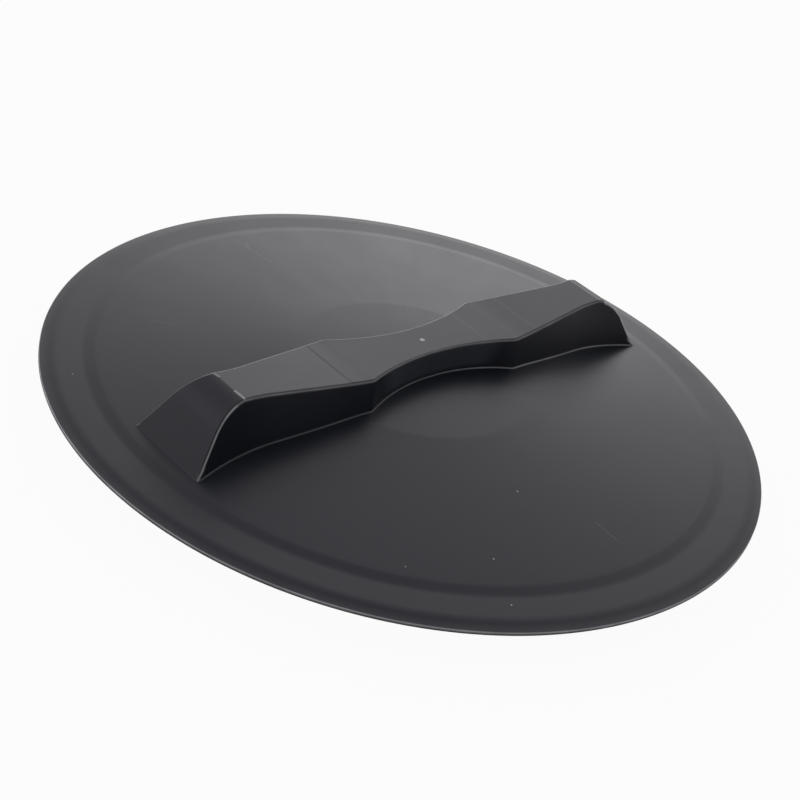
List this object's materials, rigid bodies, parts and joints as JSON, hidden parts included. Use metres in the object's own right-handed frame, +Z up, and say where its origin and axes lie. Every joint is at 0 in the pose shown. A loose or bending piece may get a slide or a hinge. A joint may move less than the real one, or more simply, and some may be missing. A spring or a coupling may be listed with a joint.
{
  "type": "threaded tank lid",
  "caption": "Round screw-in manhole lid for a water tank, black moulded plastic, with a waisted hollow bar handle across its top and a coarse threaded skirt below.",
  "frame": {"origin": "on the lid's axis, in the plane of the skirt's bottom edge, on which the lid stands", "axes": "+Z up, away from the tank; the handle lies along X; Y crosses it"},
  "size_m": [0.47, 0.47, 0.0634],
  "materials": {
    "black_plastic": "satin, as moulded"
  },
  "bodies": {
    "root": {"lid": "black_plastic"}
  },
  "joints": []
}
